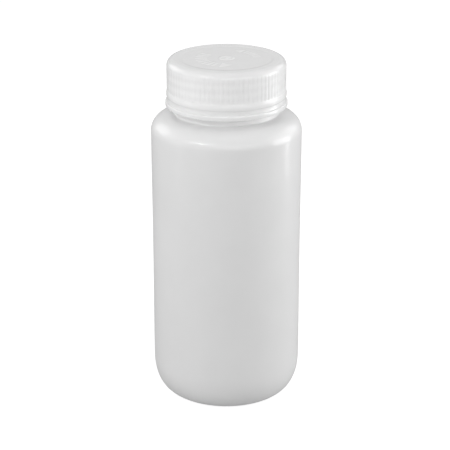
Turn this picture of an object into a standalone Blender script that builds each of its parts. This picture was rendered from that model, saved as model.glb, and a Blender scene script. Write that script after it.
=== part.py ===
"""A wide-mouth laboratory bottle with its screw cap and the sealing disc that lies inside the cap.

Metres, +Z up. The origin is the centre of the base, on the surface that the bottle stands on. The bottle is blow
moulded and hollow, with an open, threaded neck. The cap screws down over the neck and presses the sealing disc on
the lip. Pieces that touch on the real object are drawn CLEARANCE apart.
"""

import math

import bmesh
import bpy
from mathutils import Vector

# Overall size
TOTAL_HEIGHT = 0.1702
BODY_RADIUS = 0.03625
CLEARANCE = 0.0003

# Bottle: side wall, heel and shoulder. Heel and shoulder are superellipses in section.
WAIST_DIP = 0.00015  # how far the side is drawn in at half height
HEEL_WIDTH = 0.0113
HEEL_HEIGHT = 0.0185
HEEL_POWER = 2.3
SHOULDER_START = 0.1346
SHOULDER_WIDTH = 0.0151
SHOULDER_HEIGHT = 0.0094
SHOULDER_POWER = 2.24
BODY_WALL = 0.00135
BASE_WALL = 0.0018
SHOULDER_WALL = 0.0014
PUSH_UP_RADIUS = 0.0200  # the base is domed upwards inside this radius, and flat from here to the heel
PUSH_UP_HEIGHT = 0.0025

# Bottle: neck
NECK_RADIUS = 0.02505  # at the root of the thread
BORE_RADIUS = 0.0229
LIP_EDGE = 0.0004  # bevel on both edges of the lip

# Thread, right-handed, with six turns to the inch
PITCH = 0.0254 / 6
THREAD_DEPTH = 0.00115
THREAD_ROOT_WIDTH = 0.0025
THREAD_CREST_WIDTH = 0.0011
HELIX_TURNS = 4  # the threaded wall covers this many turns, and the thread itself a part of them
NECK_HELIX_START = 0.14727  # height of the middle of the neck's thread where its helix begins
NECK_THREAD_SPAN = (1.4, 3.9)  # first and last turn of the thread on the neck
CAP_THREAD_SPAN = (0.12, 3.6)
THREAD_FADE = 0.08  # turns over which a thread rises from the wall at each end
FLANK_SHIFT = 0.0003  # a tightened cap rides this far above the middle of the neck's groove

# Sealing disc
DISC_RADIUS = 0.0262
DISC_THICKNESS = 0.0012

# Cap
CAP_BOTTOM = 0.1475
CAP_PANEL = 0.0019  # from the top of the rim down to the underside
PANEL_RECESS = 0.0005  # the middle of the top lies this far below its rim
PANEL_RADIUS = 0.0214
RIM_INNER_RADIUS = 0.0228
CAP_INNER_RADIUS = 0.0266
CAP_INNER_CORNER = 0.0004
CAP_LEAD_IN = 0.0006
CAP_CORNER = 0.00345
RIB_COUNT = 80
RIB_CREST_RADIUS = 0.02845
RIB_DEPTH = 0.0003
RIB_BOTTOM = 0.1554
RIB_RUN_OUT = 0.0004
BAND_RADIUS = 0.0287
BAND_BOTTOM = 0.1522
GROOVE_RADIUS = 0.0284
BEAD_WIDTH = 0.00075
BEAD_HALF_HEIGHT = 0.0015
GATE_RADIUS = 0.0041  # the round mark in the middle of the cap's top, where the plastic was injected
GATE_HEIGHT = 0.0003

# Facets
BOTTLE_SEGMENTS = 56
CAP_SEGMENTS = RIB_COUNT

LIP_TOP = TOTAL_HEIGHT - CAP_PANEL - DISC_THICKNESS - 2 * CLEARANCE
DISC_BOTTOM = LIP_TOP + CLEARANCE
PANEL_UNDERSIDE = TOTAL_HEIGHT - CAP_PANEL
CAP_HELIX_START = NECK_HELIX_START + PITCH / 2 + FLANK_SHIFT


def clear_scene():
    for old in list(bpy.data.objects):
        bpy.data.objects.remove(old)


def curved_corner(centre, width, height, power, from_angle, to_angle, steps):
    """(radius, z) points along a superellipse, between two angles measured up from the horizontal."""
    points = []
    for step in range(steps + 1):
        angle = from_angle + (to_angle - from_angle) * step / steps
        across = abs(math.cos(angle)) ** (2 / power)
        along = math.copysign(abs(math.sin(angle)) ** (2 / power), math.sin(angle))
        points.append((centre[0] + width * across, centre[1] + height * along))
    return points


def ring(bm, radius, z, count):
    """A ring of vertices. It begins at -X and runs anticlockwise, seen from above."""
    return [bm.verts.new(on_circle(radius, z, corner / count)) for corner in range(count)]


def on_circle(radius, z, turn):
    angle = math.pi + 2 * math.pi * turn
    return Vector((radius * math.cos(angle), radius * math.sin(angle), z))


def join_rings(bm, first, second):
    for here in range(len(first)):
        there = (here + 1) % len(first)
        bm.faces.new((first[here], first[there], second[there], second[here]))


def turned_surface(bm, points, count):
    """Joins a ring at each (radius, z) point to the next, and returns the first and the last ring."""
    rings = [ring(bm, radius, z, count) for radius, z in points]
    for first, second in zip(rings, rings[1:]):
        join_rings(bm, first, second)
    return rings[0], rings[-1]


def close_with_fan(bm, rim, z):
    centre = bm.verts.new((0, 0, z))
    for here in range(len(rim)):
        bm.faces.new((rim[here], rim[(here + 1) % len(rim)], centre))


def thread_height(turn, span):
    """How much of its full depth a thread has at this turn of its helix, from 0 to 1."""
    rise = (turn - span[0]) / THREAD_FADE
    fall = (span[1] - turn) / THREAD_FADE
    return max(0.0, min(1.0, rise, fall))


def helix_rows(bm, root_radius, depth, start_z, span, count):
    """Rows of vertices that climb with the thread: four for each turn, one along each corner of its section."""
    section = (
        (-THREAD_ROOT_WIDTH / 2, 0),
        (-THREAD_CREST_WIDTH / 2, depth),
        (THREAD_CREST_WIDTH / 2, depth),
        (THREAD_ROOT_WIDTH / 2, 0),
    )
    rows = []
    for turn in range(HELIX_TURNS):
        for offset, height in section:
            row = []
            for corner in range(count):
                position = turn + corner / count
                radius = root_radius + height * thread_height(position, span)
                z = start_z + PITCH * position + offset
                row.append(bm.verts.new(on_circle(radius, z, position)))
            rows.append(row)
    return rows, len(section)


def threaded_wall(bm, below, above, rows, rows_per_turn):
    """Joins the climbing rows to each other and to the level rings below and above them.

    Where a row has gone all the way round it meets the row one turn higher, so the first and the last turn each
    leave a flat many-sided face beside their ring.
    """
    last = len(below) - 1
    for here in range(last):
        column = [below[here], *(row[here] for row in rows), above[here]]
        neighbour = [below[here + 1], *(row[here + 1] for row in rows), above[here + 1]]
        for low in range(len(column) - 1):
            bm.faces.new((column[low], neighbour[low], neighbour[low + 1], column[low + 1]))
    for low in range(len(rows) - rows_per_turn - 1):
        high = low + rows_per_turn
        bm.faces.new((rows[low][last], rows[high][0], rows[high + 1][0], rows[low + 1][last]))
    first_turn = [row[0] for row in rows[: rows_per_turn + 1]]
    bm.faces.new((below[last], below[0], *first_turn, rows[0][last]))
    last_turn = [row[last] for row in rows[-rows_per_turn - 1 :]]
    bm.faces.new((rows[-1][0], above[0], above[last], *reversed(last_turn)))


def make_object(name, bm, z, material, parent=None):
    """Turns the working mesh into an object whose origin is on the bottle's axis at height z."""
    bmesh.ops.translate(bm, verts=bm.verts, vec=(0, 0, -z))
    bmesh.ops.recalc_face_normals(bm, faces=bm.faces)
    mesh = bpy.data.meshes.new(name)
    bm.to_mesh(mesh)
    bm.free()
    mesh.shade_smooth()
    mesh.set_sharp_from_angle(angle=math.radians(32))
    mesh.materials.append(material)
    made = bpy.data.objects.new(name, mesh)
    bpy.context.scene.collection.objects.link(made)
    made.parent = parent
    made.location.z = z - (parent.location.z if parent else 0)
    return made


def plastic(name, colour, roughness):
    material = bpy.data.materials.new(name)
    material.use_nodes = True
    shader = material.node_tree.nodes["Principled BSDF"]
    shader.inputs["Base Color"].default_value = (*colour, 1)
    shader.inputs["Roughness"].default_value = roughness
    shader.inputs["Metallic"].default_value = 0
    material.diffuse_color = (*colour, 1)
    return material


def waist(z):
    """How far the side wall is drawn in at height z."""
    share = (z - HEEL_HEIGHT) / (SHOULDER_START - HEEL_HEIGHT)
    return WAIST_DIP * math.sin(math.pi * share) ** 2


def side_points(radius, steps):
    """Points up the side, between the end of the heel and the start of the shoulder."""
    points = []
    for step in range(1, steps):
        z = HEEL_HEIGHT + (SHOULDER_START - HEEL_HEIGHT) * step / steps
        points.append((radius - waist(z), z))
    return points


def push_up_points(base_z, steps):
    """Points from just off the centre of the domed base out to where the flat begins."""
    points = []
    for step in range(1, steps + 1):
        radius = PUSH_UP_RADIUS * step / steps
        points.append((radius, base_z + PUSH_UP_HEIGHT * (1 - (radius / PUSH_UP_RADIUS) ** 2)))
    return points


def bottle_skin_points(base_z, radius, heel_width, shoulder_height, neck_radius, steps):
    """Points from the base to the foot of the neck, on the outer or the inner skin of the bottle."""
    heel_centre = (radius - heel_width, HEEL_HEIGHT)
    heel = curved_corner(
        heel_centre, heel_width, HEEL_HEIGHT - base_z, HEEL_POWER, math.radians(-90), 0, steps
    )
    shoulder_centre = (BODY_RADIUS - SHOULDER_WIDTH, SHOULDER_START)
    shoulder_width = radius - shoulder_centre[0]
    reach = (neck_radius - shoulder_centre[0]) / shoulder_width
    shoulder = curved_corner(
        shoulder_centre, shoulder_width, shoulder_height, SHOULDER_POWER, 0,
        math.acos(reach ** (SHOULDER_POWER / 2)), steps,
    )
    return [*push_up_points(base_z, 3), *heel, *side_points(radius, 4), *shoulder]


def make_bottle():
    outside = bottle_skin_points(0, BODY_RADIUS, HEEL_WIDTH, SHOULDER_HEIGHT, NECK_RADIUS, 7)
    inside = bottle_skin_points(
        BASE_WALL, BODY_RADIUS - BODY_WALL, HEEL_WIDTH - BODY_WALL,
        SHOULDER_HEIGHT - SHOULDER_WALL, BORE_RADIUS, 5,
    )
    thread_foot = NECK_HELIX_START - THREAD_ROOT_WIDTH
    lip = [
        (NECK_RADIUS, LIP_TOP - LIP_EDGE),
        (NECK_RADIUS - LIP_EDGE, LIP_TOP),
        (BORE_RADIUS + LIP_EDGE, LIP_TOP),
        (BORE_RADIUS, LIP_TOP - LIP_EDGE),
    ]
    bm = bmesh.new()
    base_rim, neck_foot = turned_surface(bm, [*outside, (NECK_RADIUS, thread_foot)], BOTTLE_SEGMENTS)
    close_with_fan(bm, base_rim, PUSH_UP_HEIGHT)
    neck_head, floor_rim = turned_surface(bm, [*lip, *reversed(inside)], BOTTLE_SEGMENTS)
    close_with_fan(bm, floor_rim, BASE_WALL + PUSH_UP_HEIGHT)
    rows, rows_per_turn = helix_rows(
        bm, NECK_RADIUS, THREAD_DEPTH, NECK_HELIX_START, NECK_THREAD_SPAN, BOTTLE_SEGMENTS
    )
    threaded_wall(bm, neck_foot, neck_head, rows, rows_per_turn)
    return make_object("bottle", bm, 0, plastic("natural_polyethylene", (0.86, 0.86, 0.85), 0.38))


def make_sealing_disc(parent):
    edge = DISC_THICKNESS / 4
    points = [
        (DISC_RADIUS - edge, DISC_BOTTOM),
        (DISC_RADIUS, DISC_BOTTOM + edge),
        (DISC_RADIUS, DISC_BOTTOM + DISC_THICKNESS - edge),
        (DISC_RADIUS - edge, DISC_BOTTOM + DISC_THICKNESS),
    ]
    bm = bmesh.new()
    for rim in turned_surface(bm, points, BOTTLE_SEGMENTS):
        bm.faces.new(rim)
    colour = plastic("soft_polyethylene", (0.88, 0.88, 0.87), 0.5)
    return make_object("sealing_disc", bm, DISC_BOTTOM, colour, parent)


def ribbed_ring(bm, z):
    """A ring with two vertices to each rib, by turns on its crest and in the valley beside it."""
    corners = []
    for corner in range(2 * RIB_COUNT):
        radius = RIB_CREST_RADIUS - RIB_DEPTH * (corner % 2)
        corners.append(bm.verts.new(on_circle(radius, z, corner / (2 * RIB_COUNT))))
    return corners


def join_plain_to_ribbed(bm, plain, ribbed):
    """Closes the end of the ribs against a plain ring with one vertex to each rib."""
    for rib in range(RIB_COUNT):
        crest, valley = ribbed[2 * rib], ribbed[2 * rib + 1]
        next_crest = ribbed[(2 * rib + 2) % len(ribbed)]
        here, there = plain[rib], plain[(rib + 1) % RIB_COUNT]
        bm.faces.new((here, crest, valley))
        bm.faces.new((here, valley, there))
        bm.faces.new((there, valley, next_crest))


def cap_top_points():
    """Points from the gate mark over the sunk panel, its rim and the rounded corner to the top of the ribs."""
    corner_centre = (RIB_CREST_RADIUS - CAP_CORNER, TOTAL_HEIGHT - CAP_CORNER)
    corner = curved_corner(corner_centre, CAP_CORNER, CAP_CORNER, 2, math.radians(90), 0, 5)
    panel = TOTAL_HEIGHT - PANEL_RECESS
    middle = [
        (GATE_RADIUS - GATE_HEIGHT, panel + GATE_HEIGHT),
        (GATE_RADIUS, panel),
        (PANEL_RADIUS, panel),
        (RIM_INNER_RADIUS, TOTAL_HEIGHT),
    ]
    return [*middle, *corner]


def cap_skirt_points():
    """Points from the bottom of the ribs down over the band, the groove and the bead to the lower rim."""
    bead_centre = (GROOVE_RADIUS, CAP_BOTTOM + BEAD_HALF_HEIGHT)
    bead = curved_corner(
        bead_centre, BEAD_WIDTH, BEAD_HALF_HEIGHT, 2, math.radians(90), math.radians(-90), 6
    )
    band = [
        (RIB_CREST_RADIUS, RIB_BOTTOM - RIB_RUN_OUT),
        (BAND_RADIUS, RIB_BOTTOM - 2 * RIB_RUN_OUT),
        (BAND_RADIUS, BAND_BOTTOM + RIB_RUN_OUT),
        (GROOVE_RADIUS, BAND_BOTTOM),
    ]
    return [*band, *bead]


def make_cap(parent):
    bm = bmesh.new()
    gate_rim, ribs_above = turned_surface(bm, cap_top_points(), CAP_SEGMENTS)
    bm.faces.new(gate_rim)
    ribs_below, lower_rim = turned_surface(bm, cap_skirt_points(), CAP_SEGMENTS)
    rib_top = ribbed_ring(bm, TOTAL_HEIGHT - CAP_CORNER - RIB_RUN_OUT)
    rib_foot = ribbed_ring(bm, RIB_BOTTOM)
    join_rings(bm, rib_top, rib_foot)
    join_plain_to_ribbed(bm, ribs_above, rib_top)
    join_plain_to_ribbed(bm, ribs_below, rib_foot)

    mouth = ring(bm, CAP_INNER_RADIUS + CAP_LEAD_IN, CAP_BOTTOM, CAP_SEGMENTS)
    join_rings(bm, lower_rim, mouth)
    thread_foot = ring(bm, CAP_INNER_RADIUS, CAP_BOTTOM + CAP_LEAD_IN, CAP_SEGMENTS)
    join_rings(bm, mouth, thread_foot)
    underside = [
        (CAP_INNER_RADIUS, PANEL_UNDERSIDE - CAP_INNER_CORNER),
        (CAP_INNER_RADIUS - CAP_INNER_CORNER, PANEL_UNDERSIDE),
    ]
    thread_head, panel_rim = turned_surface(bm, underside, CAP_SEGMENTS)
    bm.faces.new(panel_rim)
    rows, rows_per_turn = helix_rows(
        bm, CAP_INNER_RADIUS, -THREAD_DEPTH, CAP_HELIX_START, CAP_THREAD_SPAN, CAP_SEGMENTS
    )
    threaded_wall(bm, thread_foot, thread_head, rows, rows_per_turn)
    colour = plastic("clear_polypropylene", (0.90, 0.90, 0.90), 0.25)
    return make_object("screw_cap", bm, CAP_BOTTOM, colour, parent)


def make_thread_axis():
    """The line that the cap turns about and lifts along, as an empty in the middle of the bottle's mouth."""
    axis = bpy.data.objects.new("thread_axis", None)
    axis.empty_display_size = BORE_RADIUS
    axis.location.z = LIP_TOP
    bpy.context.scene.collection.objects.link(axis)
    return axis


clear_scene()
make_bottle()
thread_axis = make_thread_axis()
make_sealing_disc(thread_axis)
make_cap(thread_axis)
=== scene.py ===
"""The finished look of a wide-mouth laboratory bottle with its screw cap and sealing disc.

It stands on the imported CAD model. Heights and radii that the CAD settles are read from its boxes, and most
others repeat its driving dimensions, in metres. Each CAD solid is replaced by a finer skin inside its box.
"""

import math

import bmesh
import bpy
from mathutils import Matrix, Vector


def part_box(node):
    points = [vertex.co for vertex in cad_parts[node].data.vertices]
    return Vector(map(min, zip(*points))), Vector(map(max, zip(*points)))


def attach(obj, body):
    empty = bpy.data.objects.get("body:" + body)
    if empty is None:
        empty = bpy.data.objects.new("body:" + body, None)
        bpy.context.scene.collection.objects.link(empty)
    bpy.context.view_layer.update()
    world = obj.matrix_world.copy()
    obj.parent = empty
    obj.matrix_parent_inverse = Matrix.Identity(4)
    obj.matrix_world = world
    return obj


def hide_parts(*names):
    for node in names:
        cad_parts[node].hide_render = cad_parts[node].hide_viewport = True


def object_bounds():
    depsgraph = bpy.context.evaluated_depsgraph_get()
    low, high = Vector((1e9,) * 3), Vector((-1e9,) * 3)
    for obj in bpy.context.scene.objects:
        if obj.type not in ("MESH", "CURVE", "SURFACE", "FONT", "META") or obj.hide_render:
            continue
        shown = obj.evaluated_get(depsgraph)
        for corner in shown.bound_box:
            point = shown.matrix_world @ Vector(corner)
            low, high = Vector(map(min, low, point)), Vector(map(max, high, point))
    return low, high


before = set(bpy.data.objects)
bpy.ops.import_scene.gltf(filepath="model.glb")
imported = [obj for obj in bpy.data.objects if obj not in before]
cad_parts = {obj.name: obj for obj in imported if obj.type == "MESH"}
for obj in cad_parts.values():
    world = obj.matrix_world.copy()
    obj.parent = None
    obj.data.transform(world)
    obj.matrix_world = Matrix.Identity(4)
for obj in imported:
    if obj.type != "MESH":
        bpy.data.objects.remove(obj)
CAD_LOW, CAD_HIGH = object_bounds()
BOTTLE_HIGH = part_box("bottle")[1]
CAP_LOW, CAP_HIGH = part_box("screw_cap")
DISC_LOW, DISC_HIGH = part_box("sealing_disc")

# Bottle: side wall, heel and shoulder. Heel and shoulder are superellipses in section.
SEAM_HEIGHT = 0.00004  # the mould's parting line stands this far out, on both sides
SEAM_HALF_WIDTH = 0.00022
BODY_RADIUS = BOTTLE_HIGH.x - SEAM_HEIGHT
WAIST_DIP = 0.00015
HEEL_WIDTH = 0.0113
HEEL_HEIGHT = 0.0185
HEEL_POWER = 2.3
SHOULDER_START = 0.1346
SHOULDER_WIDTH = 0.0151
SHOULDER_HEIGHT = 0.0094
SHOULDER_POWER = 2.24
BODY_WALL = 0.00135
BASE_WALL = 0.0018
SHOULDER_WALL = 0.0014
PUSH_UP_RADIUS = 0.0200
PUSH_UP_HEIGHT = 0.0025
PINCH_LENGTH = 0.0150  # half the length of the weld line that the closing mould leaves under the base
PINCH_HALF_WIDTH = 0.0006
PINCH_RUN_OUT = PINCH_HALF_WIDTH * 4
PINCH_HEIGHT = 0.0005

# Bottle: neck and lip
NECK_RADIUS = 0.02505
NECK_FILLET = 0.0008
BORE_RADIUS = 0.0229
BORE_FILLET = 0.0012
LIP_TOP = BOTTLE_HIGH.z
LIP_ROUNDING = 0.0004

# Thread
PITCH = 0.0254 / 6
THREAD_DEPTH = 0.00115
THREAD_ROOT_WIDTH = 0.0025
THREAD_CREST_WIDTH = 0.0011
HELIX_TURNS = 4
NECK_HELIX_START = 0.14727
NECK_THREAD_SPAN = (1.4, 3.9)  # from this turn of the helix to that one
CAP_THREAD_SPAN = (0.12, 3.6)
THREAD_FADE = 0.08  # in turns
FLANK_SHIFT = 0.0003
CAP_HELIX_START = NECK_HELIX_START + PITCH / 2 + FLANK_SHIFT

# Cap
CAP_BOTTOM = CAP_LOW.z
CAP_TOP = CAP_HIGH.z
CAP_UNDERSIDE = CAP_TOP - 0.0019
CAP_CORNER = 0.00345
CAP_INNER_RADIUS = 0.0266
CAP_INNER_CORNER = 0.0005
CAP_LEAD_IN = 0.0006
RIM_INNER_RADIUS = 0.0232
PANEL_RADIUS = 0.0210
PANEL_TOP = CAP_TOP - 0.0002
RIB_COUNT = 80
RIB_CREST_RADIUS = 0.02845
RIB_DEPTH = 0.00016
RIB_VALLEY_START = 0.3  # share of the way from one crest to the next at which the valley begins
RIB_TOP = CAP_TOP - CAP_CORNER
RIB_FADE = (RIB_TOP - 0.0004, RIB_TOP + 0.0016)  # the valleys run out between these heights
RIB_BOTTOM = 0.1551
BAND_RADIUS = 0.0287
BAND_TOP = 0.1550
BAND_FACE_TOP = 0.1536  # above this the band tapers towards the foot of the ribs
BAND_TAPER = 0.0002
BAND_BOTTOM = 0.1522
BAND_STEP_HALF_HEIGHT = 0.0004
GROOVE_RADIUS = 0.0284
BEAD_TOP = 0.1500
BEAD_FACE_TOP = 0.1495
BEAD_EDGE = 0.0003

# Marks moulded on the sunk middle of the cap's top: a gate mark and two arrows
MARKED_RADIUS = 0.0208
GATE_RADIUS = 0.0041
GATE_HEIGHT = 0.00016
GATE_EDGE = 0.0008
GATE_RING_WIDTH = 0.0011
GATE_DISH = 0.6  # share of the gate mark's height that is missing inside its ring
GATE_NUB_RADIUS = 0.0012
MARK_HEIGHT = 0.00008
MARK_EDGE = 0.0004

# Each arrow: angle and radius of its middle, half its length, half its width, number of bars
LONG_ARROW = (math.radians(-147), 0.0121, 0.0145, 0.0029, 9)
SHORT_ARROW = (math.radians(41.6), 0.0144, 0.0082, 0.0019, 6)
ARROW_BAR = 0.27  # half a bar's thickness, as a share of the way from one bar to the next
ARROW_HEAD = 1.35  # how many times as wide as the row of bars the head is at its foot

# Sealing disc
DISC_RADIUS = DISC_HIGH.x
DISC_EDGE = 0.00018
LIP_PRINT_DEPTH = 0.00006  # the lip leaves a shallow ring on the disc's underside

# How much whiter the milky plastic is made in these places, added to its grey value. On the marks it is the
# plastic's own; on the skirt and the neck it is painted light, and along the thread it is partly painted
# shade.
# Along the thread the cap's wall is thicker and whiter; the darker grey between its turns is painted shade,
# for the shaded gap that the thin wall would show.
THREAD_WHITENESS_AND_SHADE = 0.025  # more along the thread, and as much less between its turns
# Painted light: the cap's side is made whiter than its top, for the light that shines through the
# translucent cap.
SKIRT_PAINTED_LIGHT = 0.09
MARK_WHITENESS = 0.1
# Painted light: the neck is made whiter from the foot of its fillet up, so that the shade under the cap's
# lower rim stays light.
NECK_PAINTED_LIGHT = 0.12
NECK_PAINTED_LIGHT_FROM = 0.1435  # the neck turns whiter between these heights
NECK_PAINTED_LIGHT_TO = 0.1460

# Facets
START_ANGLE = math.pi  # every ring and both threads start at -X
BOTTLE_SEGMENTS = 240
CAP_SEGMENTS = RIB_COUNT * 6
DISC_SEGMENTS = 192

# Stage, light and camera
STAGE_RADIUS = 12
FLOOR_GAP = 0.0001
STAGE_GLOW = 0.8
WORLD_STRENGTH = 0.39
AIM_HEIGHT = 0.08544  # the camera and all lamps face the bottle at this height
CAMERA_PITCH = math.radians(21.0)
CAMERA_DISTANCE = 0.7991
CAMERA_SIDESTEP = -0.00069
CAMERA_LENS = 130.13
CAMERA_SENSOR = 36
CAMERA_CLIP = (0.01, 50)

# A noise texture's values lie mostly between these two
NOISE_LOW = 0.3
NOISE_HIGH = 0.7


def smooth(low, high, value):
    """0 below low, 1 above high and a soft curve between."""
    share = min(1.0, max(0.0, (value - low) / (high - low)))
    return share * share * (3 - 2 * share)


# ---------------------------------------------------------------- mesh building


def apart(first, second):
    """The angle between two directions, from 0 to pi."""
    gap = abs(first - second) % (2 * math.pi)
    return min(gap, 2 * math.pi - gap)


def even_angles(count):
    return [START_ANGLE + 2 * math.pi * step / count for step in range(count)]


def bottle_angles():
    """Even angles with closer ones across the two parting lines, at -X and +X."""
    step = SEAM_HALF_WIDTH / BODY_RADIUS / 2
    close = [centre + step * offset for centre in (0, math.pi) for offset in range(-4, 5)]
    far_enough = math.pi / BOTTLE_SEGMENTS
    turns = [angle - START_ANGLE for angle in even_angles(BOTTLE_SEGMENTS)]
    plain = [turn for turn in turns if all(apart(turn, other) > far_enough for other in close)]
    merged = sorted(angle % (2 * math.pi) for angle in (*plain, *close))
    return [START_ANGLE + angle for angle in merged]


def ring(bm, angles, radius, z, shape=None):
    """A ring of vertices. shape(radius, z, angle) gives the radius and height of each, where they vary."""
    corners = []
    for angle in angles:
        across, up = shape(radius, z, angle) if shape else (radius, z)
        corners.append(bm.verts.new((across * math.cos(angle), across * math.sin(angle), up)))
    return corners


def join_rings(bm, first, second):
    for here in range(len(first)):
        there = (here + 1) % len(first)
        bm.faces.new((first[here], first[there], second[there], second[here]))


def turned_surface(bm, points, angles, shape=None):
    """Joins a ring at each (radius, z) point to the next, and returns the first and the last ring."""
    rings = [ring(bm, angles, radius, z, shape) for radius, z in points]
    for first, second in zip(rings, rings[1:]):
        join_rings(bm, first, second)
    return rings[0], rings[-1]


def close_with_fan(bm, rim, z):
    centre = bm.verts.new((0, 0, z))
    for here in range(len(rim)):
        bm.faces.new((rim[here], rim[(here + 1) % len(rim)], centre))


def arc(centre, width, height, from_degrees, to_degrees, steps, power=2):
    """(radius, z) points along an ellipse or superellipse, at angles measured up from the horizontal."""
    points = []
    for step in range(steps + 1):
        angle = math.radians(from_degrees + (to_degrees - from_degrees) * step / steps)
        across = math.copysign(abs(math.cos(angle)) ** (2 / power), math.cos(angle))
        up = math.copysign(abs(math.sin(angle)) ** (2 / power), math.sin(angle))
        points.append((centre[0] + width * across, centre[1] + height * up))
    return points


def round_corner(centre, radius, from_degrees, to_degrees, steps):
    return arc(centre, radius, radius, from_degrees, to_degrees, steps)


def soft_step(low, high):
    """(radius, z) points on a soft curve from one (radius, z) up to another."""
    steps = 8
    points = []
    for step in range(steps + 1):
        share = step / steps
        radius = low[0] + (high[0] - low[0]) * smooth(0, 1, share)
        points.append((radius, low[1] + (high[1] - low[1]) * share))
    return points


def thread_rise(turn, span):
    """How much of its depth a thread has at this turn of its helix, from 0 to 1."""
    return smooth(0, THREAD_FADE, turn - span[0]) * smooth(0, THREAD_FADE, span[1] - turn)


def thread_section(depth):
    """(offset, height) points across a thread with rounded edges and foot, from its lower flank up."""
    foot, crest = THREAD_ROOT_WIDTH / 2, THREAD_CREST_WIDTH / 2
    flank = [foot + (crest - foot) * step / 5 for step in range(6)]
    offsets = [-offset for offset in flank] + list(reversed(flank))
    return [(offset, depth * smooth(0, foot - crest, foot - abs(offset))) for offset in offsets]


def thread_rows(bm, angles, shape, root_radius, depth, start_z, span):
    """Rows of vertices that climb with the helix, each once round, from its first turn to its last."""
    rows = []
    for turn in range(HELIX_TURNS):
        for offset, height in thread_section(depth):
            row = []
            for angle in angles:
                position = turn + (angle - START_ANGLE) / (2 * math.pi)
                radius = root_radius + height * thread_rise(position, span)
                row += ring(bm, [angle], radius, start_z + PITCH * position + offset, shape)
            rows.append(row)
    return rows


def threaded_wall(bm, below, above, angles, shape=None, **thread):
    """A wall with a helical thread between two level rings.

    Where a row has gone all the way round it meets the row one turn higher, so the first and the last turn
    each leave a flat many-sided face beside their ring.
    """
    rows = thread_rows(bm, angles, shape, **thread)
    rows_in_turn = len(rows) // HELIX_TURNS
    last = len(angles) - 1
    for here in range(last):
        column = [below[here], *(row[here] for row in rows), above[here]]
        neighbour = [below[here + 1], *(row[here + 1] for row in rows), above[here + 1]]
        for low in range(len(column) - 1):
            bm.faces.new((column[low], neighbour[low], neighbour[low + 1], column[low + 1]))
    for low in range(len(rows) - rows_in_turn - 1):
        high = low + rows_in_turn
        bm.faces.new((rows[low][last], rows[high][0], rows[high + 1][0], rows[low + 1][last]))
    first_turn = [row[0] for row in rows[: rows_in_turn + 1]]
    bm.faces.new((below[last], below[0], *first_turn, rows[0][last]))
    last_turn = [row[last] for row in rows[-rows_in_turn - 1 :]]
    bm.faces.new((rows[-1][0], above[0], above[last], *reversed(last_turn)))


def finished_piece(name, bm, material, body, node):
    """Makes the piece, lets it ride on its body and stand for its CAD solid."""
    bmesh.ops.recalc_face_normals(bm, faces=bm.faces)
    mesh = bpy.data.meshes.new(name)
    bm.to_mesh(mesh)
    bm.free()
    mesh.shade_smooth()
    mesh.materials.append(material)
    piece = bpy.data.objects.new(name, mesh)
    bpy.context.scene.collection.objects.link(piece)
    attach(piece, body)
    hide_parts(node)


# ---------------------------------------------------------------- bottle


def with_seam(radius, z, angle):
    """The outer skin with the fine raised line where the halves of the mould met."""
    aside = radius * min(apart(angle, 0), apart(angle, math.pi))
    return radius + SEAM_HEIGHT * (1 - smooth(0, SEAM_HALF_WIDTH, aside)), z


def with_pinch_line(radius, z, angle):
    """The base with the raised weld line that runs across its middle, from one parting line to the other."""
    aside = abs(radius * math.sin(angle))
    along = abs(radius * math.cos(angle))
    rise = 1 - smooth(0, PINCH_HALF_WIDTH, aside)
    rise *= 1 - smooth(PINCH_LENGTH - PINCH_RUN_OUT, PINCH_LENGTH, along)
    return radius, z - PINCH_HEIGHT * rise


def side_radius(radius, z):
    """The side wall, drawn in a little at half its height."""
    share = (z - HEEL_HEIGHT) / (SHOULDER_START - HEEL_HEIGHT)
    return radius - WAIST_DIP * math.sin(math.pi * share) ** 2


def dome_points(base_z, steps):
    """Points from just off the centre of the domed base out to where the flat begins."""
    points = []
    for step in range(1, steps + 1):
        share = step / steps
        z = base_z + PUSH_UP_HEIGHT * (1 + math.cos(math.pi * share)) / 2
        points.append((PUSH_UP_RADIUS * share, z))
    return points


def heel_and_side_points(base_z, radius, heel_width, steps):
    """Points from the flat of the base, round the heel and up to the start of the shoulder."""
    heel_centre = (radius - heel_width, HEEL_HEIGHT)
    heel = arc(heel_centre, heel_width, HEEL_HEIGHT - base_z, -90, 0, steps, HEEL_POWER)
    side = []
    for step in range(1, steps + 1):
        z = HEEL_HEIGHT + (SHOULDER_START - HEEL_HEIGHT) * step / steps
        side.append((side_radius(radius, z), z))
    return heel + side


def shoulder_points(radius, height, end_radius, steps):
    """Points from the top of the side wall over the shoulder, as far in as end_radius."""
    centre = (BOTTLE_HIGH.x - SHOULDER_WIDTH, SHOULDER_START)
    width = radius - centre[0]
    stop = math.degrees(math.acos(((end_radius - centre[0]) / width) ** (SHOULDER_POWER / 2)))
    return arc(centre, width, height, 0, stop, steps, SHOULDER_POWER)[1:]


def outside_points():
    """Points up the outer skin, from the edge of the domed base to the foot of the neck."""
    points = heel_and_side_points(0, BODY_RADIUS, HEEL_WIDTH, steps=28)
    points += shoulder_points(BODY_RADIUS, SHOULDER_HEIGHT, NECK_RADIUS + NECK_FILLET, steps=24)
    fillet_centre = (NECK_RADIUS + NECK_FILLET, points[-1][1] + NECK_FILLET)
    return points + round_corner(fillet_centre, NECK_FILLET, -90, -180, steps=6)[1:]


def lip_points():
    """Points over the lip, from the outside of the neck to the bore."""
    z = LIP_TOP - LIP_ROUNDING
    outer = round_corner((NECK_RADIUS - LIP_ROUNDING, z), LIP_ROUNDING, 0, 90, steps=5)
    inner = round_corner((BORE_RADIUS + LIP_ROUNDING, z), LIP_ROUNDING, 90, 180, steps=5)
    return outer + inner


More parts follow.
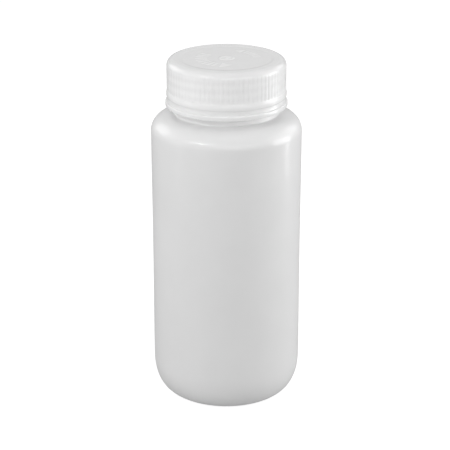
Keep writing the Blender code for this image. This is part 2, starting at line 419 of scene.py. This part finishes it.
def inside_points():
    """Points up the inner skin, from the middle of its floor to the foot of the bore."""
    radius = BODY_RADIUS - BODY_WALL
    shoulder_height = SHOULDER_HEIGHT - SHOULDER_WALL
    points = dome_points(BASE_WALL, steps=12)
    points += heel_and_side_points(BASE_WALL, radius, HEEL_WIDTH - BODY_WALL, steps=20)
    points += shoulder_points(radius, shoulder_height, BORE_RADIUS + BORE_FILLET, steps=16)
    fillet_centre = (BORE_RADIUS + BORE_FILLET, points[-1][1] + BORE_FILLET)
    return points + round_corner(fillet_centre, BORE_FILLET, -90, -180, steps=6)[1:]


def make_bottle(material):
    angles = bottle_angles()
    bm = bmesh.new()
    dome_rim, dome_edge = turned_surface(bm, dome_points(0, steps=24), angles, with_pinch_line)
    close_with_fan(bm, dome_rim, PUSH_UP_HEIGHT - PINCH_HEIGHT)
    heel_start, neck_foot = turned_surface(bm, outside_points(), angles, with_seam)
    join_rings(bm, dome_edge, heel_start)
    neck_head, floor_rim = turned_surface(bm, lip_points() + inside_points()[::-1], angles)
    close_with_fan(bm, floor_rim, BASE_WALL + PUSH_UP_HEIGHT)
    threaded_wall(
        bm, neck_foot, neck_head, angles, with_seam,
        root_radius=NECK_RADIUS, depth=THREAD_DEPTH, start_z=NECK_HELIX_START, span=NECK_THREAD_SPAN,
    )
    finished_piece("bottle_shell", bm, material, "bottle", "bottle")


# ---------------------------------------------------------------- sealing disc


def make_sealing_disc(material):
    """A soft disc with die-cut edges and the print of the lip on its underside."""
    angles = even_angles(DISC_SEGMENTS)
    low, high = DISC_LOW.z, DISC_HIGH.z
    print_top = low + LIP_PRINT_DEPTH
    underside = [(DISC_RADIUS * sixths / 6, low) for sixths in range(1, 6)]
    underside += [
        (BORE_RADIUS - DISC_EDGE, low),
        (BORE_RADIUS, print_top),
        (NECK_RADIUS, print_top),
        (NECK_RADIUS + DISC_EDGE, low),
    ]
    edge = round_corner((DISC_RADIUS - DISC_EDGE, low + DISC_EDGE), DISC_EDGE, -90, 0, steps=4)
    edge += round_corner((DISC_RADIUS - DISC_EDGE, high - DISC_EDGE), DISC_EDGE, 0, 90, steps=4)
    bm = bmesh.new()
    centre_below, rim_above = turned_surface(bm, underside + edge, angles)
    close_with_fan(bm, centre_below, low)
    close_with_fan(bm, rim_above, high)
    finished_piece("sealing_disc_sheet", bm, material, "disc", "sealing_disc")


# ---------------------------------------------------------------- cap


def with_ribs(radius, z, angle):
    """The skirt with its upright ribs: broad crests and narrow valleys, shallower towards the top."""
    along = (angle / (2 * math.pi) * RIB_COUNT) % 1
    valley = smooth(RIB_VALLEY_START, 0.5, 0.5 - abs(along - 0.5))
    return radius - RIB_DEPTH * valley * (1 - smooth(*RIB_FADE, z)), z


def turn_arrow(radius, angle, middle_angle, middle_radius, half_length, half_width, bars):
    """How far inside a turn arrow a point lies, in metres. It is a row of bars and a head, along an arc."""
    turned = (angle - middle_angle + math.pi) % (2 * math.pi) - math.pi
    along = turned * middle_radius
    across = radius - middle_radius
    spacing = 2 * half_length / (bars + 2)
    head_start = half_length - 2 * spacing
    if along > head_start:
        head = (half_length - along) / (2 * spacing)
        return half_width * ARROW_HEAD * head - abs(across)
    place = (along + half_length) / spacing
    from_bar = abs(place - round(place)) * spacing
    if round(place) < 0 or round(place) >= bars:
        return -spacing
    return min(spacing * ARROW_BAR - from_bar, half_width - abs(across))


def with_marks(radius, z, angle):
    """The sunk panel with the gate mark in its middle and two arrows that show how the cap unscrews."""
    gate = smooth(0, GATE_EDGE, GATE_RADIUS - radius)
    gate *= 1 - GATE_DISH * smooth(0, GATE_EDGE, GATE_RADIUS - GATE_RING_WIDTH - radius)
    nub = smooth(0, GATE_EDGE, GATE_NUB_RADIUS - radius)
    inside = max(turn_arrow(radius, angle, *LONG_ARROW), turn_arrow(radius, angle, *SHORT_ARROW))
    arrow = smooth(-MARK_EDGE / 2, MARK_EDGE / 2, inside)
    return radius, z + max(GATE_HEIGHT * gate, GATE_HEIGHT * nub, MARK_HEIGHT * arrow)


def lead_in_points():
    """Points down the softened chamfer in the cap's mouth, from its inner wall to its lower rim."""
    corners = ((0, 1.3), (0.2, 0.7), (1, 0.1), (1.3, 0))  # outwards and upwards, as shares of the lead-in
    return [(CAP_INNER_RADIUS + CAP_LEAD_IN * out, CAP_BOTTOM + CAP_LEAD_IN * up) for out, up in corners]


def skirt_points():
    """Points up the outside, from the lower rim over bead, groove and band to the foot of the ribs."""
    rim = CAP_HIGH.x
    step_from, step_to = BAND_BOTTOM - BAND_STEP_HALF_HEIGHT, BAND_BOTTOM + BAND_STEP_HALF_HEIGHT
    points = round_corner((rim - BEAD_EDGE, CAP_BOTTOM + BEAD_EDGE), BEAD_EDGE, -90, 0, steps=6)
    points += soft_step((rim, BEAD_FACE_TOP), (GROOVE_RADIUS, BEAD_TOP))
    points += soft_step((GROOVE_RADIUS, step_from), (BAND_RADIUS, step_to))
    points += soft_step((BAND_RADIUS, BAND_FACE_TOP), (BAND_RADIUS - BAND_TAPER, BAND_TOP))
    return points


def rib_and_corner_points():
    """Points up the ribs, over the rounded corner and across the rim down to the sunk panel."""
    rib_steps, rim_steps = 14, 10
    points = []
    for step in range(rib_steps):
        points.append((RIB_CREST_RADIUS, RIB_BOTTOM + (RIB_TOP - RIB_BOTTOM) * step / rib_steps))
    points += round_corner((RIB_CREST_RADIUS - CAP_CORNER, RIB_TOP), CAP_CORNER, 0, 90, steps=18)
    for step in range(1, rim_steps + 1):
        share = step / rim_steps
        radius = RIM_INNER_RADIUS + (PANEL_RADIUS - RIM_INNER_RADIUS) * share
        points.append((radius, CAP_TOP + (PANEL_TOP - CAP_TOP) * smooth(0, 1, share)))
    return points


def panel_points():
    """Points across the sunk panel, from its edge to beside its centre, close together at the marks."""
    arrows_from, arrows_to, arrow_steps = 0.0170, 0.0085, 28
    gate_from, gate_steps = GATE_RADIUS + MARK_EDGE, 26
    radii = [PANEL_RADIUS - margin for margin in (0.0008, 0.0025)]
    for step in range(arrow_steps + 1):
        radii.append(arrows_from + (arrows_to - arrows_from) * step / arrow_steps)
    radii.append((arrows_to + gate_from) / 2)
    radii += [gate_from * (1 - step / gate_steps) for step in range(gate_steps)]
    return [(radius, PANEL_TOP) for radius in radii]


def underside_points():
    """Points across the underside of the cap's top and round the inner corner to the top of its thread."""
    points = [(CAP_INNER_RADIUS * fifths / 5, CAP_UNDERSIDE) for fifths in range(1, 5)]
    corner_centre = (CAP_INNER_RADIUS - CAP_INNER_CORNER, CAP_UNDERSIDE - CAP_INNER_CORNER)
    return points + round_corner(corner_centre, CAP_INNER_CORNER, 90, 0, steps=5)


def store_marks(bm):
    """Stores on each corner of the mesh how far it belongs to the raised marks, from 0 to 1."""
    layer = bm.verts.layers.float.new("marks")
    for corner in bm.verts:
        if math.hypot(corner.co.x, corner.co.y) < MARKED_RADIUS and corner.co.z > PANEL_TOP:
            corner[layer] = smooth(0, MARK_HEIGHT, corner.co.z - PANEL_TOP)


def make_cap(material):
    angles = even_angles(CAP_SEGMENTS)
    bm = bmesh.new()
    panel_centre, thread_head = turned_surface(bm, underside_points(), angles)
    close_with_fan(bm, panel_centre, CAP_UNDERSIDE)
    thread_foot, band_top = turned_surface(bm, lead_in_points() + skirt_points(), angles)
    threaded_wall(
        bm, thread_foot, thread_head, angles,
        root_radius=CAP_INNER_RADIUS, depth=-THREAD_DEPTH, start_z=CAP_HELIX_START, span=CAP_THREAD_SPAN,
    )
    rib_foot, panel_edge = turned_surface(bm, rib_and_corner_points(), angles, with_ribs)
    join_rings(bm, band_top, rib_foot)
    panel_outer, panel_inner = turned_surface(bm, panel_points(), angles, with_marks)
    join_rings(bm, panel_edge, panel_outer)
    close_with_fan(bm, panel_inner, PANEL_TOP + GATE_HEIGHT)
    store_marks(bm)
    finished_piece("screw_cap_shell", bm, material, "cap", "screw_cap")


# ---------------------------------------------------------------- materials


def new_material(name):
    material = bpy.data.materials.new(name)
    material.use_nodes = True
    tree = material.node_tree
    return material, tree, tree.nodes["Principled BSDF"]


def object_place(tree):
    return tree.nodes.new("ShaderNodeTexCoord").outputs["Object"]


def noise(tree, place, scale, detail):
    """A noise texture over object coordinates; scale is in cycles a metre."""
    made = tree.nodes.new("ShaderNodeTexNoise")
    made.inputs["Scale"].default_value = scale
    made.inputs["Detail"].default_value = detail
    tree.links.new(place, made.inputs["Vector"])
    return made.outputs["Fac"]


def stretched(tree, place, scale):
    mapping = tree.nodes.new("ShaderNodeMapping")
    mapping.inputs["Scale"].default_value = scale
    tree.links.new(place, mapping.inputs["Vector"])
    return mapping.outputs["Vector"]


def split(tree, place):
    """The outputs X, Y and Z of a place."""
    made = tree.nodes.new("ShaderNodeSeparateXYZ")
    tree.links.new(place, made.inputs["Vector"])
    return made.outputs


def ramp(tree, value, start, end, low=0, high=1):
    """A number that goes evenly from low to high as value goes from start to end, and stays level beyond."""
    made = tree.nodes.new("ShaderNodeMapRange")
    made.inputs["From Min"].default_value = start
    made.inputs["From Max"].default_value = end
    made.inputs["To Min"].default_value = low
    made.inputs["To Max"].default_value = high
    tree.links.new(value, made.inputs["Value"])
    return made.outputs["Result"]


def between(tree, noise_value, low, high):
    """Turns a noise into the range from low to high."""
    return ramp(tree, noise_value, NOISE_LOW, NOISE_HIGH, low, high)


def tinted(tree, noise_value, dark, light):
    """A colour between dark and light, by a noise."""
    made = tree.nodes.new("ShaderNodeValToRGB")
    made.color_ramp.elements[0].position = NOISE_LOW
    made.color_ramp.elements[0].color = (*dark, 1)
    made.color_ramp.elements[1].position = NOISE_HIGH
    made.color_ramp.elements[1].color = (*light, 1)
    tree.links.new(noise_value, made.inputs["Fac"])
    return made.outputs["Color"]


def calculated(tree, operation, *values):
    """One Math node. Each value is another node's output or a number."""
    made = tree.nodes.new("ShaderNodeMath")
    made.operation = operation
    for socket, value in zip(made.inputs, values):
        if isinstance(value, (int, float)):
            socket.default_value = value
        else:
            tree.links.new(value, socket)
    return made.outputs["Value"]


def thread_wave(tree, place):
    """1 along the middle of the cap's thread and -1 half way between its turns."""
    axes = split(tree, place)
    angle = calculated(tree, "ARCTAN2", axes["Y"], axes["X"])
    climb = calculated(tree, "MULTIPLY", axes["Z"], 2 * math.pi / PITCH)
    start = 2 * math.pi * CAP_HELIX_START / PITCH - START_ANGLE
    phase = calculated(tree, "SUBTRACT", calculated(tree, "SUBTRACT", climb, angle), start)
    return calculated(tree, "COSINE", phase)


def grey_of(tree, value):
    made = tree.nodes.new("ShaderNodeCombineColor")
    for socket in made.inputs:
        tree.links.new(value, socket)
    return made.outputs["Color"]


def bumped(tree, height, distance, strength, under=None):
    """The surface's normal on small bumps, which may lie over other bumps."""
    made = tree.nodes.new("ShaderNodeBump")
    made.inputs["Distance"].default_value = distance
    made.inputs["Strength"].default_value = strength
    tree.links.new(height, made.inputs["Height"])
    if under:
        tree.links.new(under, made.inputs["Normal"])
    return made.outputs["Normal"]


def make_milky(shader, depth):
    """Light of every colour scatters inside the plastic, about this deep."""
    shader.inputs["Subsurface Weight"].default_value = 1
    shader.inputs["Subsurface Radius"].default_value = (1, 1, 1)
    shader.inputs["Subsurface Scale"].default_value = depth


def make_shiny(shader, ior, coat, coat_roughness):
    shader.inputs["IOR"].default_value = ior
    shader.inputs["Coat Weight"].default_value = coat
    shader.inputs["Coat Roughness"].default_value = coat_roughness


def natural_polyethylene():
    """Unpigmented blow-moulded polyethylene: milky, satin, faintly streaked along its length and pebbled.

    Its grey is made whiter from the foot of the neck up: painted light, so that the shade under the cap's
    lower rim stays light.
    """
    material, tree, shader = new_material("natural_polyethylene")
    place = object_place(tree)
    clouds = noise(tree, place, scale=45, detail=3)
    streaks = noise(tree, stretched(tree, place, (1, 1, 0.03)), scale=420, detail=2)
    pebbles = noise(tree, place, scale=1500, detail=2)
    height = split(tree, place)["Z"]
    # Painted light: whiter from the foot of the neck up, so that the shade under the cap's lower rim stays
    # light.
    neck_painted_light = ramp(tree, height, NECK_PAINTED_LIGHT_FROM, NECK_PAINTED_LIGHT_TO, 0, NECK_PAINTED_LIGHT)
    white = calculated(tree, "ADD", between(tree, clouds, 0.82, 0.84), neck_painted_light)
    tree.links.new(grey_of(tree, white), shader.inputs["Base Color"])
    tree.links.new(between(tree, clouds, 0.30, 0.38), shader.inputs["Roughness"])
    die_lines = bumped(tree, streaks, distance=0.00002, strength=0.35)
    pebbled = bumped(tree, pebbles, distance=0.00001, strength=0.35, under=die_lines)
    tree.links.new(pebbled, shader.inputs["Normal"])
    make_milky(shader, depth=0.0009)
    make_shiny(shader, ior=1.54, coat=0.3, coat_roughness=0.06)
    return material


def clear_polypropylene():
    """Unpigmented injection-moulded polypropylene, glossier than the bottle.

    It is milky, so the raised marks, where there is more of it, look whiter. The skirt is made whiter too:
    painted light for the light that shines through the cap, with bands along the thread inside it, whiter
    where the wall is thicker and painted shade between its turns.
    """
    material, tree, shader = new_material("clear_polypropylene")
    place = object_place(tree)
    clouds = noise(tree, place, scale=160, detail=3)
    grain = noise(tree, place, scale=2600, detail=2)
    marks = tree.nodes.new("ShaderNodeAttribute")
    marks.attribute_name = "marks"
    height = split(tree, place)["Z"]
    # Painted light on the cap's side, between its rim and its bead, with bands along its thread that are
    # partly painted shade.
    under_rim = ramp(tree, height, CAP_UNDERSIDE, RIB_TOP)
    over_bead = ramp(tree, height, BEAD_TOP, BAND_TOP)
    on_skirt = calculated(tree, "MULTIPLY", under_rim, over_bead)
    # Whiter plastic along the thread and painted shade between its turns.
    wave = calculated(tree, "MULTIPLY", thread_wave(tree, place), THREAD_WHITENESS_AND_SHADE)
    skirt_light_and_shade = calculated(tree, "MULTIPLY", calculated(tree, "ADD", wave, SKIRT_PAINTED_LIGHT), on_skirt)
    mark_white = calculated(tree, "MULTIPLY", marks.outputs["Fac"], MARK_WHITENESS)
    white = calculated(tree, "ADD", skirt_light_and_shade, between(tree, clouds, 0.845, 0.855))
    white = calculated(tree, "ADD", white, mark_white)
    tree.links.new(grey_of(tree, white), shader.inputs["Base Color"])
    tree.links.new(between(tree, clouds, 0.19, 0.23), shader.inputs["Roughness"])
    tree.links.new(bumped(tree, grain, distance=0.00001, strength=0.3), shader.inputs["Normal"])
    make_milky(shader, depth=0.0006)
    make_shiny(shader, ior=1.49, coat=0.15, coat_roughness=0.08)
    return material


def soft_polyethylene():
    """The disc's dull, slightly cellular sheet."""
    material, tree, shader = new_material("soft_polyethylene")
    place = object_place(tree)
    cells = noise(tree, place, scale=2200, detail=3)
    clouds = noise(tree, place, scale=120, detail=2)
    colour = tinted(tree, clouds, dark=(0.80, 0.80, 0.79), light=(0.85, 0.85, 0.84))
    tree.links.new(colour, shader.inputs["Base Color"])
    tree.links.new(between(tree, clouds, 0.5, 0.6), shader.inputs["Roughness"])
    tree.links.new(bumped(tree, cells, distance=0.00003, strength=0.5), shader.inputs["Normal"])
    make_milky(shader, depth=0.0008)
    return material


def pale_stage():
    """A matt white that glows a little, so that it stays pale far from the lamps."""
    material, _, shader = new_material("pale_stage")
    shader.inputs["Base Color"].default_value = (0.4, 0.4, 0.4, 1)
    shader.inputs["Roughness"].default_value = 0.9
    shader.inputs["Specular IOR Level"].default_value = 0
    shader.inputs["Emission Color"].default_value = (1, 1, 1, 1)
    shader.inputs["Emission Strength"].default_value = STAGE_GLOW
    return material


# ---------------------------------------------------------------- stage, light and camera


def stage_piece(name, bm, z, material):
    """A piece of the surroundings. Only the camera sees it: the lamps and the world light the bottle."""
    mesh = bpy.data.meshes.new(name)
    bm.to_mesh(mesh)
    bm.free()
    mesh.materials.append(material)
    piece = bpy.data.objects.new(name, mesh)
    piece.location.z = z
    piece.visible_diffuse = False
    piece.visible_glossy = False
    piece.visible_transmission = False
    piece.visible_volume_scatter = False
    piece.visible_shadow = False
    bpy.context.scene.collection.objects.link(piece)


def make_stage():
    """A round floor under a dome."""
    material = pale_stage()
    floor = bmesh.new()
    bmesh.ops.create_circle(floor, cap_ends=True, segments=64, radius=STAGE_RADIUS)
    stage_piece("floor", floor, CAD_LOW.z - FLOOR_GAP, material)
    dome = bmesh.new()
    bmesh.ops.create_uvsphere(dome, u_segments=64, v_segments=32, radius=STAGE_RADIUS)
    stage_piece("backdrop", dome, 0, material)


def softbox(name, azimuth, elevation, brightness, distance=0.9, width=0.50, height=0.44, reflected=True):
    """An evenly bright rectangle that faces the bottle and isn't seen itself.

    Azimuth 0 is in front of the bottle and 90 on its right. If it isn't reflected, it shows in no highlight.
    """
    light = bpy.data.lights.new(name, "AREA")
    light.shape = "RECTANGLE"
    light.size = width
    light.size_y = height
    light.energy = math.pi * width * height * brightness
    turn, rise = math.radians(azimuth), math.radians(elevation)
    lamp = bpy.data.objects.new(name, light)
    lamp.location = (
        distance * math.cos(rise) * math.sin(turn),
        -distance * math.cos(rise) * math.cos(turn),
        AIM_HEIGHT + distance * math.sin(rise),
    )
    lamp.rotation_euler = (math.pi / 2 - rise, 0, turn)
    lamp.visible_camera = False
    lamp.visible_glossy = reflected
    bpy.context.scene.collection.objects.link(lamp)


def make_lamps():
    softbox("top", 0, 80, brightness=0.5)
    softbox("front", 0, 22, brightness=1.25)
    softbox("front_right", 30, 22, brightness=1.3)
    softbox("front_left", -60, 22, brightness=1.25, reflected=False)
    softbox("left_key", -42, 38, brightness=12.0, width=0.45, height=0.08)
    softbox("left_low", -60, 8, brightness=1.0, reflected=False)
    softbox("left_top", -60, 58, brightness=0.4, reflected=False)
    softbox("left_side", -75, 4, brightness=0.7, distance=0.45, width=0.12, height=0.30)
    softbox("left_back", -125, 24, brightness=1.8)
    softbox("right_back", 125, 24, brightness=1.4)
    softbox("right_side", 90, 8, brightness=3.7)
    softbox("right_top", 90, 32, brightness=0.8)
    softbox("right_edge", 101, 2, brightness=2.4, distance=0.36, width=0.07, height=0.20)
    softbox("back", 180, 27, brightness=0.35, width=0.60)


def make_world():
    world = bpy.data.worlds.new("studio")
    world.use_nodes = True
    background = world.node_tree.nodes["Background"]
    background.inputs["Color"].default_value = (1, 1, 1, 1)
    background.inputs["Strength"].default_value = WORLD_STRENGTH
    bpy.context.scene.world = world


def make_camera():
    camera = bpy.data.objects.new("camera", bpy.data.cameras.new("camera"))
    camera.data.lens = CAMERA_LENS
    camera.data.sensor_width = CAMERA_SENSOR
    camera.data.clip_start, camera.data.clip_end = CAMERA_CLIP
    camera.location = (
        CAMERA_SIDESTEP,
        -CAMERA_DISTANCE * math.cos(CAMERA_PITCH),
        AIM_HEIGHT + CAMERA_DISTANCE * math.sin(CAMERA_PITCH),
    )
    camera.rotation_euler = (math.pi / 2 - CAMERA_PITCH, 0, 0)
    bpy.context.scene.collection.objects.link(camera)
    bpy.context.scene.camera = camera


make_camera()
make_world()
make_stage()
make_lamps()
make_bottle(natural_polyethylene())
make_sealing_disc(soft_polyethylene())
make_cap(clear_polypropylene())
bpy.context.scene.view_settings.view_transform = "Standard"
